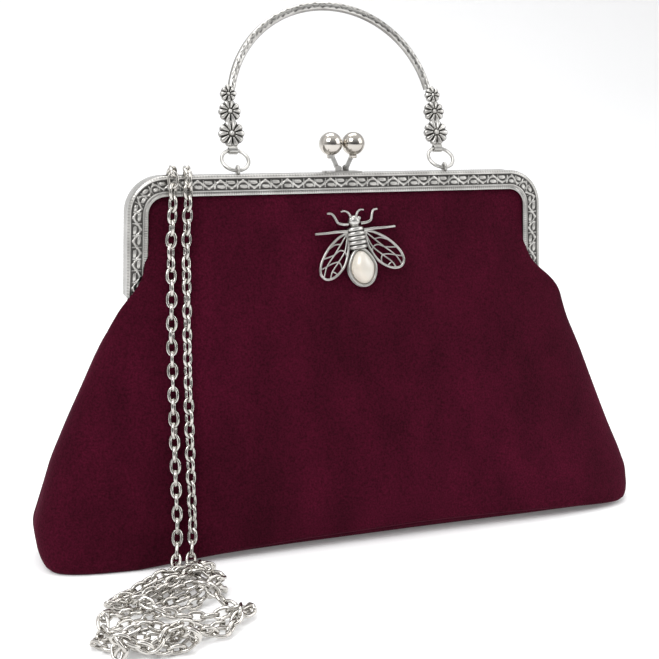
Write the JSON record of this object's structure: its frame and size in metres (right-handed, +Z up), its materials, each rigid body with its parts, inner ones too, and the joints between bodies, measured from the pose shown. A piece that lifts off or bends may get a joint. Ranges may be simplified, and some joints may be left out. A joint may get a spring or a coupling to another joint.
{
  "type": "evening bag",
  "caption": "Kiss-lock evening bag: flared velvet body on a hinged metal frame, with a ring-hung arch handle, a ball clasp, a bee ornament and a loose cable chain.",
  "frame": {"origin": "middle of the bag's base, on the surface it stands on", "axes": "+X along the width to the right, -Y towards the front, +Z up"},
  "size_m": [0.3036, 0.147, 0.2527],
  "materials": {
    "antique_silver": "antique silver plate, dark in the recesses",
    "bright_silver": "polished silver plate",
    "velvet": "deep burgundy velvet",
    "lining": "burgundy satin",
    "pearl": "pearl lustre",
    "board": "pressed board",
    "paper_cord": "twisted paper cord"
  },
  "bodies": {
    "root": {"front_frame": "antique_silver", "hinge_rivet_left": "antique_silver", "hinge_rivet_right": "antique_silver", "handle_eyelet_left": "antique_silver", "handle_eyelet_right": "antique_silver", "clasp_plate_front": "antique_silver", "front_panel": "velvet", "back_panel": "velvet", "gusset_left": "velvet", "gusset_right": "velvet", "base_panel": "velvet", "base_board": "board", "front_lining": "lining", "back_lining": "lining", "paper_cord_front": "paper_cord", "bee_body": "antique_silver", "bee_pearl": "pearl", "bee_wing_left": "antique_silver", "bee_wing_right": "antique_silver", "bee_legs": "antique_silver", "bee_posts": "antique_silver", "bee_washers": "antique_silver", "chain_strand_left": "bright_silver", "chain_strand_right": "bright_silver", "chain_pile": "bright_silver", "chain_clasp_left": "bright_silver", "chain_clasp_right": "bright_silver", "chain_tab_left": "lining", "chain_tab_right": "lining"},
    "back_half": {"back_frame": "antique_silver", "clasp_plate_back": "antique_silver", "back_panel_top": "velvet", "back_lining_top": "lining", "paper_cord_back": "paper_cord"},
    "ring_left": {"handle_ring_left": "antique_silver"},
    "ring_right": {"handle_ring_right": "antique_silver"},
    "handle": {"handle_bow": "antique_silver", "handle_tab_left": "antique_silver", "handle_tab_right": "antique_silver", "rosette_large_left": "antique_silver", "rosette_large_right": "antique_silver", "rosette_medium_left": "antique_silver", "rosette_medium_right": "antique_silver", "rosette_small_left": "antique_silver", "rosette_small_right": "antique_silver"},
    "clasp_front": {"clasp_lever_front": "antique_silver", "clasp_ball_front": "bright_silver"},
    "clasp_back": {"clasp_lever_back": "antique_silver", "clasp_ball_back": "bright_silver"}
  },
  "joints": [
    {"name": "frame_opening", "type": "hinge", "parent": "root", "child": "back_half", "pos_m": [0, 0, 0.111], "axis": [-1, 0, 0], "range_deg": [0, 80]},
    {"name": "ring_left_swing", "type": "hinge", "parent": "root", "child": "ring_left", "pos_m": [-0.051, -0.0032, 0.1749], "axis": [-1, 0, 0], "range_deg": [-75, 45]},
    {"name": "ring_right_swing", "type": "hinge", "parent": "root", "child": "ring_right", "pos_m": [0.051, -0.0032, 0.1749], "axis": [-1, 0, 0], "range_deg": [-75, 45]},
    {"name": "handle_swing", "type": "hinge", "parent": "ring_left", "child": "handle", "pos_m": [-0.051, 0.00557, 0.18367], "axis": [-1, 0, 0], "range_deg": [-45, 45]},
    {"name": "clasp_front_flex", "type": "hinge", "parent": "root", "child": "clasp_front", "pos_m": [-0.003, -0.0024, 0.175], "axis": [0, -1, 0], "range_deg": [0, 6], "stiffness_Nm_per_rad": 0.2},
    {"name": "clasp_back_flex", "type": "hinge", "parent": "back_half", "child": "clasp_back", "pos_m": [0.003, 0.0024, 0.175], "axis": [0, 1, 0], "range_deg": [0, 6], "stiffness_Nm_per_rad": 0.2}
  ],
  "couplings": [
    {"joint": "ring_right_swing", "follows": "ring_left_swing", "ratio": 1},
    {"joint": "clasp_back_flex", "follows": "clasp_front_flex", "ratio": 1}
  ]
}
